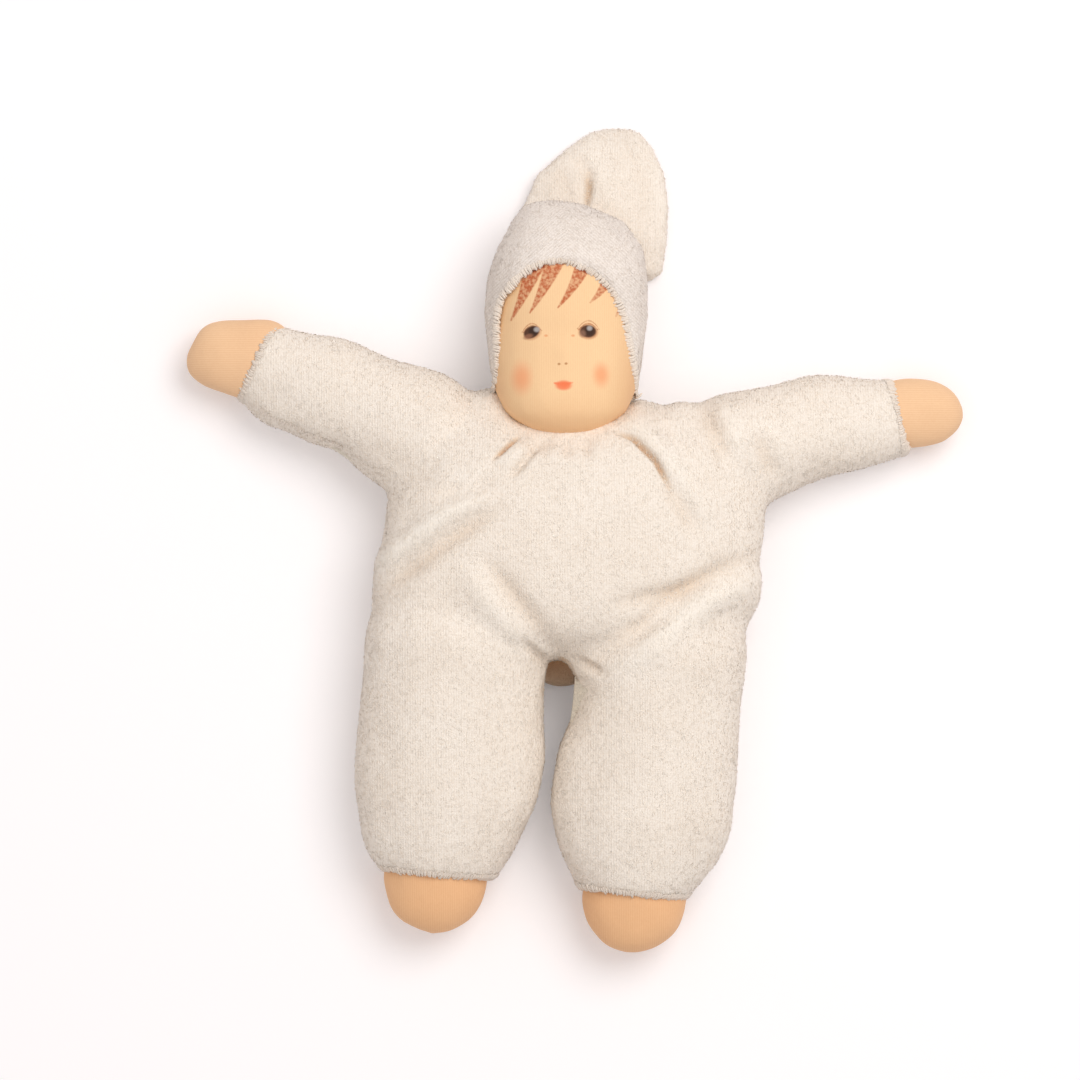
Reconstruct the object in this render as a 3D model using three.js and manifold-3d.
// A small stuffed baby doll with a cloth head, sewn from terry knit and skin-coloured jersey.
// It lies on its back. Millimetres: +Z is the way the face looks, +Y runs to the tip of the cap,
// +X is the doll's left side. Each stuffed form is cut flat where it rests on the ground.
import * as THREE from "three";
import { mergeVertices } from "three/addons/utils/BufferGeometryUtils.js";
import Module from "manifold-3d";

const wasm = await Module();
wasm.setup();

// Cloth, seams and the clearances between pieces
const knitThickness = 2.3; // terry knit of the suit
const jerseyThickness = 1.2; // skin-coloured jersey
const seat = 0.3; // gap left between two pieces that touch
const restDepth = 0.5; // how deep a form is cut flat where it rests
const endWall = 1.3; // cloth left around the hand or foot at the sleeve's or trouser leg's end
const edgeWidth = 1.8; // width of an overlocked cloth edge
const edgeRise = 0.5; // how far its thread stands over the cloth
const overrun = 60; // how far a cutting solid runs past the doll
const foldMargin = 3.5; // cloth left free around a turning limb
const foldStart = { arm: 12, leg: 10 }; // from the limb's joint to where its own sleeve starts

// Torso
const torsoLength = 103.5;
const torsoWidth = 140.6;
const torsoDepth = 57;
const crotchY = -45;
const sideSeamZ = 27; // height of the seams between the front and the back

// Arms, by the doll's own sides: the right one lies at the left of a picture from above
const arms = {
  right: {
    shoulder: [-52.9, 35.4], heading: 154.8, length: 68.9, rootWidth: 50, rootDepth: 44,
    handLean: -9.5, handWidth: 26, handDepth: 26, handLength: 25.5, swing: [-50, 40],
  },
  left: {
    shoulder: [55.5, 31], heading: 12.6, length: 62.2, rootWidth: 46, rootDepth: 44,
    handLean: 3, handWidth: 25.6, handDepth: 25.6, handLength: 25, swing: [-40, 50],
  },
};

// Legs
const legs = {
  right: {
    hip: [-43.9, -36.9], heading: 265.3, length: 84.1, rootWidth: 68.6, rootDepth: 54,
    footWidth: 38.6, footDepth: 33.8, footLength: 24.5, spread: [-20, 0],
  },
  left: {
    hip: [30.2, -40.5], heading: 264, length: 87.7, rootWidth: 66.4, rootDepth: 54,
    footWidth: 38.2, footDepth: 33.8, footLength: 24.5, spread: [0, 20],
  },
};
const legsMiddleX = -6.4; // where the two legs' cloth meets
const crotchClothTop = 14; // the cloth between the legs runs this far above the hips
const wristInset = 1; // from the sleeve's end to the hand's joint
const ankleInset = 2;
const endHem = 4.6; // how far in from its end a sleeve or trouser leg is thinner
const mouthShare = 0.25; // of a hand's or foot's depth: radius of the hole its wool goes in through
const extremityLift = 1.1; // the hands and feet are held just clear of the ground
const bends = { arm: [-20, 25], leg: [-15, 20] }; // of a hand in its sleeve, a foot in its trouser leg

// Neck and head
const neckPivot = [-3.4, 40, 21];
const neckRadius = 7;
const neckLength = 20;
const neckKnotRadius = 6.6;
const neckSocketGap = 0.6;
const neckRoomShare = 1.6; // of the neck's own radius, open in the head below the knot
const neckClothWidth = 62;
const neckClothBottom = 25;
const headWidth = 53.4;
const headDepth = 53;
const headLength = 82.4;
const chinY = 36.3;
const headMiddleX = -4;
const headMiddleZ = 29;
const hoodWidth = 58.8;
const hoodDepth = 57.4;
const hoodLength = 83.4;
const hoodBottomY = 38.6;
const hoodMiddleX = -3.9;
const hoodMiddleZ = 28.2;
const hoodNeckY = 43;
const faceWidth = 50.6;
const faceLength = 66;
const faceMiddle = [-4.2, 67];
const faceTilt = 3;
const faceFloorZ = 30;

// Cap tail, the floppy tip behind the crown
const tailWidth = 54;
const tailDepth = 14.5;
const tailLength = 57;
const tailBottomY = 93;
const tailMiddleX = 7;
const tailHinge = [120, 6.75]; // y and z
const tailRootRadius = 6.7;
const tailFold = [0, 60]; // degrees it can be lifted forward over the crown

const roundUnderShare = 0.35; // of the torso's taper, lifts its underside

// Shares of each form's length, width and depth, then a sideways shift as a share of its width
const torsoShares = [
  [0, 0, 0, -0.048], [0.03, 0.6, 0.62, -0.048], [0.11, 0.95, 0.9, -0.048], [0.23, 0.997, 0.98, -0.032],
  [0.4, 1, 1, -0.013], [0.58, 0.99, 0.98, 0], [0.73, 0.89, 0.89, -0.003], [0.85, 0.71, 0.73, -0.023],
  [0.95, 0.43, 0.46, -0.08], [1, 0, 0, -0.15],
];
const armShares = [[0, 1, 1], [0.22, 0.94, 0.93], [0.42, 0.85, 0.83], [0.68, 0.77, 0.76], [1, 0.62, 0.665]];
const legShares = [
  [0, 1, 1], [0.24, 0.985, 0.96], [0.5, 1, 0.91], [0.7, 0.96, 0.87], [0.85, 0.84, 0.81],
  [0.95, 0.72, 0.75], [1, 0.63, 0.7],
];
const handShares = [[0, 1, 1], [0.22, 1.05, 0.9], [0.55, 1, 0.81], [0.84, 0.66, 0.52], [1, 0, 0]];
const leanShares = [0, 0.06, 0.38, 0.74, 0.95]; // of the hand's sideways lean, ring by ring
const footShares = [[0, 1, 1], [0.24, 1.01, 0.94], [0.56, 0.93, 0.83], [0.84, 0.6, 0.54], [1, 0, 0]];
const headShares = [
  [0, 0, 0, 0, 0.2], [0.03, 0.45, 0.42, 0, 0.18], [0.1, 0.8, 0.75, 0, 0.11], [0.21, 0.96, 0.93, 0, 0.035],
  [0.38, 1, 1, 0, 0], [0.57, 0.99, 0.995, 0, 0], [0.75, 0.9, 0.91, 0, 0], [0.89, 0.66, 0.68, 0, 0],
  [0.97, 0.35, 0.37, -0.02, 0], [1, 0, 0, -0.04, 0],
];
const hoodShares = [
  [0, 0, 0, 0, 0.05], [0.035, 0.6, 0.58, 0, 0.03], [0.14, 0.86, 0.88, 0, 0], [0.32, 0.935, 0.98, 0, 0],
  [0.5, 0.995, 1, 0, 0], [0.65, 0.985, 0.985, 0.01, 0], [0.79, 0.89, 0.885, 0.03, 0],
  [0.9, 0.68, 0.68, 0.01, 0], [0.97, 0.38, 0.4, -0.065, 0], [1, 0, 0, -0.1, 0],
];
const tailShares = [
  [0, 0, 0, 0.34], [0.08, 0.52, 0.7, 0.2], [0.26, 0.9, 1, 0.04], [0.47, 1, 1, 0],
  [0.68, 0.88, 0.88, 0.03], [0.85, 0.6, 0.68, 0.1], [0.96, 0.32, 0.4, 0.15], [1, 0, 0, 0.16],
];

// How finely the surfaces are divided
const ringSides = { torso: 20, arm: 12, leg: 14, head: 18, tail: 12, end: 10 };
const ovalSides = 22; // of a cutting oval seen from above
const roomSides = 14; // of a round room that a hand or foot turns in
const ballSides = 12;
const roundTurn = 3; // rings that round off the root of a limb
const sweepStep = 10; // degrees between the copies of a turning form
const wideStep = 18; // the same where the form is nearly round
const simplifyWithin = 0.2; // facets this close to flat are joined
const torsoSquareness = 2.25; // 2 is an oval section, more is boxier
const degrees = Math.PI / 180;

// A form is a closed surface of rings along a line on the ground, kept as points and triangles.
// Each ring is [along, halfWidth, halfHeight, sideways, middleHeight]; a ring of no width is a tip.
function makeForm({ start, heading, rings, sides, squareness = torsoSquareness }) {
  const along = new THREE.Vector2(Math.cos(heading * degrees), Math.sin(heading * degrees));
  const side = new THREE.Vector2(along.y, -along.x);
  const points = [];
  const faces = [];
  const rows = rings.map(([v, halfWidth, halfHeight, shift, z]) => {
    const count = halfWidth > 0 ? sides : 1;
    const row = [];
    for (let i = 0; i < count; i++) {
      const angle = ((i + 0.5) / sides) * 2 * Math.PI;
      const across = shift + halfWidth * rounded(Math.cos(angle), squareness);
      const up = z + halfHeight * rounded(Math.sin(angle), squareness);
      row.push(points.length / 3);
      points.push(start[0] + along.x * v + side.x * across, start[1] + along.y * v + side.y * across, up);
    }
    return row;
  });
  for (let r = 0; r + 1 < rows.length; r++) {
    const near = rows[r];
    const far = rows[r + 1];
    for (let i = 0; i < sides; i++) {
      const j = (i + 1) % sides;
      if (near.length === 1) faces.push(near[0], far[j], far[i]);
      else if (far.length === 1) faces.push(near[i], near[j], far[0]);
      else faces.push(near[i], near[j], far[j], near[i], far[j], far[i]);
    }
  }
  return turnedOut({ points, faces });
}

function rounded(value, squareness) {
  return Math.sign(value) * Math.abs(value) ** (2 / squareness);
}

// Turns the triangles round if their volume comes out negative.
function turnedOut({ points, faces }) {
  const corner = (i) => new THREE.Vector3().fromArray(points, 3 * i);
  let volume = 0;
  for (let i = 0; i < faces.length; i += 3) {
    volume += corner(faces[i]).dot(corner(faces[i + 1]).cross(corner(faces[i + 2])));
  }
  if (volume < 0) faces.reverse();
  return { points, faces };
}

function geometryOf({ points, faces }) {
  const geometry = new THREE.BufferGeometry();
  geometry.setAttribute("position", new THREE.Float32BufferAttribute(points, 3));
  geometry.setIndex(faces);
  return geometry;
}

// The same form with its surface moved out by a distance, or in where it is negative.
function grown(form, distance) {
  const geometry = geometryOf(form);
  geometry.computeVertexNormals();
  const normals = geometry.getAttribute("normal").array;
  const points = form.points.map((value, i) => value + normals[i] * distance);
  return { points, faces: form.faces };
}

// A closed geometry as a solid that can be cut and joined.
function solidOf(geometry) {
  const bare = geometry.clone();
  bare.deleteAttribute("normal");
  bare.deleteAttribute("uv");
  const merged = mergeVertices(bare);
  const mesh = new wasm.Mesh({
    numProp: 3,
    vertProperties: merged.getAttribute("position").array,
    triVerts: new Uint32Array(merged.index.array),
  });
  return new wasm.Manifold(mesh);
}

// A form as a solid, cut flat where it rests.
function formSolid(form, distance = 0) {
  return solidOf(geometryOf(grown(form, distance))).intersect(aboveGround);
}

function largestBody(solid) {
  const bodies = solid.decompose();
  bodies.sort((a, b) => b.volume() - a.volume());
  return bodies[0];
}

// Solids used for cutting
function boxBetween([x0, y0, z0], [x1, y1, z1]) {
  const geometry = new THREE.BoxGeometry(x1 - x0, y1 - y0, z1 - z0);
  geometry.translate((x0 + x1) / 2, (y0 + y1) / 2, (z0 + z1) / 2);
  return solidOf(geometry);
}

function upright(outline, bottom, top) {
  const shape = new THREE.Shape(outline.map(([x, y]) => new THREE.Vector2(x, y)));
  const geometry = new THREE.ExtrudeGeometry(shape, { depth: top - bottom, bevelEnabled: false });
  geometry.translate(0, 0, bottom);
  return solidOf(geometry);
}

function ovalOutline([x, y], halfLength, halfWidth, heading, count) {
  const along = [Math.cos(heading * degrees), Math.sin(heading * degrees)];
  const outline = [];
  for (let i = 0; i < count; i++) {
    const u = halfLength * Math.cos((i / count) * 2 * Math.PI);
    const w = halfWidth * Math.sin((i / count) * 2 * Math.PI);
    outline.push([x + along[0] * u - along[1] * w, y + along[1] * u + along[0] * w]);
  }
  return outline;
}

function ball([x, y, z], radius) {
  const geometry = new THREE.SphereGeometry(radius, ballSides, ballSides / 2);
  geometry.translate(x, y, z);
  return solidOf(geometry);
}

function roundBar([x, y, z], radius, length, direction) {
  const geometry = new THREE.CylinderGeometry(radius, radius, length, ballSides);
  const turn = new THREE.Quaternion().setFromUnitVectors(new THREE.Vector3(0, 1, 0), direction);
  geometry.applyQuaternion(turn);
  geometry.translate(x, y, z);
  return solidOf(geometry);
}

// A solid turned about a line through a point, in degrees
function turned(solid, [x, y, z], axis, angle) {
  const there = new THREE.Matrix4().makeTranslation(x, y, z);
  const back = new THREE.Matrix4().makeTranslation(-x, -y, -z);
  const turn = new THREE.Matrix4().makeRotationAxis(axis, angle * degrees);
  return solid.transform(there.multiply(turn).multiply(back).elements);
}

function turnedThrough(solid, pivot, axis, [low, high], step) {
  const count = Math.ceil((high - low) / step);
  const copies = [];
  for (let i = 0; i <= count; i++) copies.push(turned(solid, pivot, axis, low + ((high - low) * i) / count));
  return wasm.Manifold.union(copies);
}

// A round hollow about a hinge line that a faceted form can turn in
function turningRoom([x, y, z], axis, radius, halfLength) {
  const outward = 1 / Math.cos(Math.PI / roomSides) ** 2;
  const geometry = new THREE.SphereGeometry(outward, roomSides, roomSides / 2);
  geometry.scale(radius, halfLength, radius);
  geometry.applyQuaternion(new THREE.Quaternion().setFromUnitVectors(new THREE.Vector3(0, 1, 0), axis));
  geometry.translate(x, y, z);
  return solidOf(geometry);
}

const farOff = torsoLength + legs.right.length + overrun;
const aboveGround = boxBetween([-farOff, -farOff, 0], [farOff, farOff, farOff]);

// The ground before a limb's fold line: everything past a distance from its joint
function pastFold([x, y], heading, distance) {
  const along = [Math.cos(heading * degrees), Math.sin(heading * degrees)];
  const corner = (v, w) => [x + along[0] * v - along[1] * w, y + along[1] * v + along[0] * w];
  const near = [corner(distance, overrun), corner(distance, -overrun)];
  const far = [corner(farOff, -overrun), corner(farOff, overrun)];
  return upright([...near, ...far], -overrun, farOff);
}

// Rings of a form from its table of shares; the last value gives the height of each ring's middle.
function ringsFromShares(shares, length, width, depth, middleHeight) {
  return shares.map(([a, w, d, shift = 0, lift = 0]) => {
    const halfHeight = (d * depth) / 2;
    return [a * length, (w * width) / 2, halfHeight, shift * width, middleHeight(halfHeight) + lift * depth];
  });
}

const torsoForm = makeForm({
  start: [0, crotchY],
  heading: 90,
  sides: ringSides.torso,
  rings: ringsFromShares(torsoShares, torsoLength, torsoWidth, torsoDepth, (half) => {
    return half - restDepth + roundUnderShare * (torsoDepth / 2 - half);
  }),
});

// The rings that close a form with half a ball behind its joint
function roundRoot(width, depth, middleHeight) {
  const rings = [[-depth / 2, 0, 0, 0, middleHeight]];
  for (let i = 1; i < roundTurn; i++) {
    const angle = (i / roundTurn) * 90 * degrees;
    const round = Math.sin(angle);
    rings.push([(-depth / 2) * Math.cos(angle), (width / 2) * round, (depth / 2) * round, 0, middleHeight]);
  }
  return rings;
}

// A limb has a round root about its joint and rests on the ground all along.
function limbForm(joint, heading, length, width, depth, shares, sides) {
  const rings = roundRoot(width, depth, depth / 2 - restDepth);
  const tube = ringsFromShares(shares, length, width, depth, (half) => half - restDepth);
  const last = tube[tube.length - 1];
  rings.push(...tube, [last[0], 0, 0, last[3], last[4]]);
  return makeForm({ start: joint, heading, rings, sides, squareness: 2 });
}

// A hand or foot is round about its joint, so that it can flop, and longer away from the limb.
function endForm(joint, heading, length, width, depth, lean, middleHeight, shares, sides) {
  const rings = roundRoot(width, depth, middleHeight);
  const tube = ringsFromShares(shares, length, width, depth, () => middleHeight);
  tube.forEach((ring, i) => {
    ring[3] += lean * leanShares[i];
  });
  rings.push(...tube);
  return makeForm({ start: joint, heading, rings, sides, squareness: 2 });
}

// The cloth that turns with a limb: its plan all through its swing, with the oval of its root
function sweptPlan({ joint, limb, shares, range, rootReach }, margin) {
  const halfWidth = limb.rootWidth / 2 + margin;
  const rootOval = ovalOutline(joint, rootReach + margin, halfWidth, limb.heading, ovalSides);
  const parts = [upright(rootOval, -overrun, farOff)];
  const steps = Math.ceil((range[1] - range[0]) / sweepStep);
  for (let i = 0; i <= steps; i++) {
    const heading = limb.heading + range[0] + ((range[1] - range[0]) * i) / steps;
    const along = [Math.cos(heading * degrees), Math.sin(heading * degrees)];
    const outline = [];
    for (const sign of [1, -1]) {
      const row = shares.map(([a, w]) => {
        const v = a * limb.length;
        const half = sign * ((w * limb.rootWidth) / 2 + margin / 2);
        return [joint[0] + along[0] * v - along[1] * half, joint[1] + along[1] * v + along[0] * half];
      });
      outline.push(...(sign > 0 ? row : row.reverse()));
    }
    parts.push(upright(outline, -overrun, farOff));
  }
  return wasm.Manifold.union(parts);
}

// Forms of the limbs
const limbs = [];
for (const side of ["right", "left"]) {
  const arm = arms[side];
  const leg = legs[side];
  limbs.push({
    kind: "arm", side, limb: arm, joint: arm.shoulder, shares: armShares, range: arm.swing,
    rootReach: Math.max(arm.rootDepth, arm.rootWidth) / 2, fold: foldStart.arm, inset: wristInset,
    endSize: [arm.handLength, arm.handWidth, arm.handDepth], endShares: handShares, lean: arm.handLean,
  });
  limbs.push({
    kind: "leg", side, limb: leg, joint: leg.hip, shares: legShares, range: leg.spread,
    rootReach: leg.rootDepth / 2, fold: foldStart.leg, inset: ankleInset,
    endSize: [leg.footLength, leg.footWidth, leg.footDepth], endShares: footShares, lean: 0,
  });
}
for (const one of limbs) {
  const { limb, joint, shares } = one;
  const { heading, length, rootWidth, rootDepth } = limb;
  one.form = limbForm(joint, heading, length, rootWidth, rootDepth, shares, ringSides[one.kind]);
  const reach = length - one.inset;
  one.endJoint = [
    joint[0] + Math.cos(heading * degrees) * reach,
    joint[1] + Math.sin(heading * degrees) * reach,
    one.endSize[2] / 2 + extremityLift,
  ];
  one.endForm = endForm(
    one.endJoint, heading, ...one.endSize, one.lean, one.endJoint[2], one.endShares, ringSides.end,
  );
  const hingeLine = new THREE.Vector3(Math.sin(heading * degrees), -Math.cos(heading * degrees), 0);
  const [, width, depth] = one.endSize;
  one.rootRoom = turningRoom(one.endJoint, hingeLine, depth / 2 + seat, width / 2 + seat);
  const clearEnd = formSolid(one.endForm, seat);
  one.endRoom = turnedThrough(clearEnd, one.endJoint, hingeLine, bends[one.kind], wideStep);
  one.region = (gap) => sweptPlan(one, foldMargin + gap);
  one.past = pastFold(joint, heading, one.fold);
}

// Head, hood and tail
const headForm = makeForm({
  start: [headMiddleX, chinY],
  heading: 90,
  sides: ringSides.head,
  rings: ringsFromShares(headShares, headLength, headWidth, headDepth, () => headMiddleZ),
});
const hoodForm = makeForm({
  start: [hoodMiddleX, hoodBottomY],
  heading: 90,
  sides: ringSides.head,
  rings: ringsFromShares(hoodShares, hoodLength, hoodWidth, hoodDepth, () => hoodMiddleZ),
});
const tailForm = makeForm({
  start: [tailMiddleX, tailBottomY],
  heading: 90,
  sides: ringSides.tail,
  rings: ringsFromShares(tailShares, tailLength, tailWidth, tailDepth, (half) => half - restDepth),
});

// The suit as one skin: its outside, its inside and the stuffing's surface
function suitAt(distance) {
  const forms = [torsoForm, ...limbs.map((one) => one.form)];
  return wasm.Manifold.union(forms.map((form) => formSolid(form, distance)));
}
const suitOutside = suitAt(0);
const suitSkin = suitOutside.subtract(suitAt(-knitThickness));
const headOutside = wasm.Manifold.union(formSolid(headForm, seat), formSolid(hoodForm, seat));
const neckRegion = (gap) => {
  const half = neckClothWidth / 2 + gap;
  const lowest = [neckPivot[0] - half, neckClothBottom - gap, -overrun];
  return boxBetween(lowest, [neckPivot[0] + half, farOff, farOff]);
};

// A leg's cloth stops at the doll's middle and takes the cloth between the legs with it.
for (const one of limbs) {
  if (one.kind !== "leg") continue;
  const outward = one.side === "left" ? 1 : -1;
  const innerX = legsMiddleX + (outward * seat) / 2;
  const halfXs = [innerX, innerX + outward * farOff].sort((a, b) => a - b);
  one.ownHalf = boxBetween([halfXs[0], -farOff, -overrun], [halfXs[1], farOff, farOff]);
  const xs = [legsMiddleX, one.joint[0]].sort((a, b) => a - b);
  const plan = one.region;
  one.region = (gap) => {
    const top = one.joint[1] + crotchClothTop + gap;
    return plan(gap).add(boxBetween([xs[0], -farOff, -overrun], [xs[1], top, farOff]));
  };
}

// Everything that the torso leaves to the limbs and the neck
function takenFromTorso(gap) {
  return wasm.Manifold.union([...limbs.flatMap((one) => [one.region(gap), one.past]), neckRegion(gap)]);
}

const pieces = [];
function addPiece(name, solid, look) {
  const mesh = new THREE.Mesh(meshGeometry(largestBody(solid.simplify(simplifyWithin))), look);
  mesh.name = name;
  pieces.push(mesh);
}

function meshGeometry(solid) {
  const { vertProperties, triVerts, numProp } = solid.getMesh();
  const points = [];
  for (let i = 0; i < vertProperties.length; i += numProp) {
    points.push(vertProperties[i], vertProperties[i + 1], vertProperties[i + 2]);
  }
  const geometry = geometryOf({ points, faces: Array.from(triVerts) }).toNonIndexed();
  geometry.computeVertexNormals();
  return geometry;
}

// Looks
function look(color, roughness) {
  return new THREE.MeshStandardMaterial({ color, roughness, metalness: 0 });
}
const creamTerry = look(0xefe2d5, 0.95);
const paleTerry = look(0xe6dacd, 0.95);
const skinJersey = look(0xfbd3a4, 0.85);
const wool = look(0xf3eadb, 1);
const thread = look(0xeadccb, 0.8);

// Torso pieces
const torsoSkin = suitSkin.subtract(takenFromTorso(seat));
const frontHalf = boxBetween([-farOff, -farOff, sideSeamZ + seat / 2], [farOff, farOff, farOff]);
const backHalf = boxBetween([-farOff, -farOff, -overrun], [farOff, farOff, sideSeamZ - seat / 2]);
addPiece("romper_front", torsoSkin.intersect(frontHalf), creamTerry);
addPiece("romper_back", torsoSkin.intersect(backHalf), creamTerry);
const neckHole = roundBar(
  [neckPivot[0], neckPivot[1] - neckKnotRadius - neckLength / 2, neckPivot[2]],
  neckRadius + seat,
  neckLength + seat * 2,
  new THREE.Vector3(0, 1, 0),
);
const torsoInside = formSolid(torsoForm, -knitThickness - seat);
addPiece("torso_stuffing", torsoInside.subtract(takenFromTorso(0)).subtract(neckHole), wool);

// Neck: the wound wool neck, the thread knotted round it and the suit's gathered neckline
addPiece(
  "neck_core",
  roundBar(
    [neckPivot[0], neckPivot[1] - neckKnotRadius - neckLength / 2, neckPivot[2]],
    neckRadius,
    neckLength - seat * 2,
    new THREE.Vector3(0, 1, 0),
  ),
  wool,
);
addPiece("neck_tie", ball(neckPivot, neckKnotRadius - seat), thread);
addPiece("neckline_cloth", suitSkin.intersect(neckRegion(0)).subtract(headOutside), creamTerry);

// Head
const knotRoom = ball(neckPivot, neckKnotRadius + neckSocketGap);
const neckRoom = roundBar(
  [neckPivot[0], neckPivot[1] - overrun / 2, neckPivot[2]],
  neckRadius * neckRoomShare,
  overrun,
  new THREE.Vector3(0, 1, 0),
);
const neckCut = knotRoom.add(neckRoom);
const neckOpening = boxBetween([-farOff, -farOff, -overrun], [farOff, hoodNeckY, farOff]);
addPiece("head_core", formSolid(headForm, -jerseyThickness - seat).subtract(neckCut), wool);
const headShell = formSolid(headForm).subtract(formSolid(headForm, -jerseyThickness));
addPiece("head_skin", headShell.subtract(neckCut), skinJersey);
const faceOval = (margin) => {
  const halfSizes = [faceLength / 2 + margin, faceWidth / 2 + margin];
  const outline = ovalOutline(faceMiddle, ...halfSizes, 90 + faceTilt, ovalSides);
  return upright(outline, faceFloorZ - margin, farOff);
};
const hoodInside = formSolid(headForm, seat).add(neckOpening).add(neckCut);
const hoodCloth = formSolid(hoodForm).subtract(hoodInside).subtract(faceOval(edgeWidth + seat));
addPiece("cap_hood", hoodCloth, paleTerry);
const hoodEdge = formSolid(hoodForm, edgeRise).subtract(hoodInside).subtract(faceOval(0));
addPiece("cap_hood_edge", hoodEdge.intersect(faceOval(edgeWidth)), thread);

// Cap tail and the fold of cloth between it and the hood
const tailBar = (gap) => {
  return roundBar([tailMiddleX, ...tailHinge], tailRootRadius + gap, farOff, new THREE.Vector3(1, 0, 0));
};
const beyondHinge = (gap) => {
  return boxBetween([-farOff, tailHinge[0] - gap, -overrun], [farOff, farOff, farOff]).add(tailBar(gap));
};
const tailOutside = formSolid(tailForm).subtract(formSolid(hoodForm, seat));
const crownPassed = turnedThrough(
  formSolid(hoodForm, seat),
  [tailMiddleX, ...tailHinge],
  new THREE.Vector3(1, 0, 0),
  [-tailFold[1], tailFold[0]],
  sweepStep,
);
addPiece("cap_tail", tailOutside.intersect(beyondHinge(0)).subtract(crownPassed), creamTerry);
addPiece("cap_fold", tailOutside.subtract(beyondHinge(seat)), creamTerry);

// Limbs: the cloth at the joint, the sleeve or trouser leg, its stuffing, and the hand or foot
const names = {
  arm: ["shoulder_cloth", "sleeve", "sleeve_edge", "arm_stuffing", "hand_skin", "hand_stuffing"],
  leg: ["hip_cloth", "trouser_leg", "trouser_edge", "leg_stuffing", "foot_skin", "foot_stuffing"],
};
for (const one of limbs) {
  const [jointCloth, tube, edge, stuffing, endSkin, endStuffing] = names[one.kind];
  const { heading, length } = one.limb;
  const past = (distance) => pastFold(one.joint, heading, distance);
  let cloth = suitSkin.intersect(one.region(0)).subtract(past(one.fold - seat)).subtract(neckRegion(seat));
  if (one.ownHalf) cloth = cloth.intersect(one.ownHalf);
  addPiece(`${jointCloth}_${one.side}`, cloth, creamTerry);
  const shell = formSolid(one.form).subtract(formSolid(one.form, -knitThickness));
  const openFrom = length - endHem;
  const endBore = one.rootRoom.add(one.endRoom).add(formSolid(one.form, -endWall).intersect(past(openFrom)));
  const sleeve = shell.intersect(past(one.fold)).subtract(endBore).subtract(past(length - edgeWidth - seat));
  addPiece(`${tube}_${one.side}`, sleeve, creamTerry);
  const overlock = formSolid(one.form, edgeRise).subtract(endBore).intersect(past(length - edgeWidth));
  addPiece(`${edge}_${one.side}`, overlock, thread);
  const inside = formSolid(one.form, -knitThickness - seat).subtract(one.rootRoom);
  addPiece(`${stuffing}_${one.side}`, inside.subtract(past(openFrom - seat)), wool);
  const backward = -one.endSize[2] / 2;
  const mouth = ball(one.endJoint, one.endSize[2] * mouthShare).translate([
    Math.cos(heading * degrees) * backward,
    Math.sin(heading * degrees) * backward,
    0,
  ]);
  const bag = formSolid(one.endForm).subtract(formSolid(one.endForm, -jerseyThickness)).subtract(mouth);
  addPiece(`${endSkin}_${one.side}`, bag, skinJersey);
  addPiece(`${endStuffing}_${one.side}`, formSolid(one.endForm, -jerseyThickness - seat), wool);
}

const doll = new THREE.Group();
for (const mesh of pieces) doll.add(mesh);
const box = new THREE.Box3().setFromObject(doll);
const middle = box.getCenter(new THREE.Vector3());
doll.position.set(-middle.x, -middle.y, -box.min.z);
export default doll;
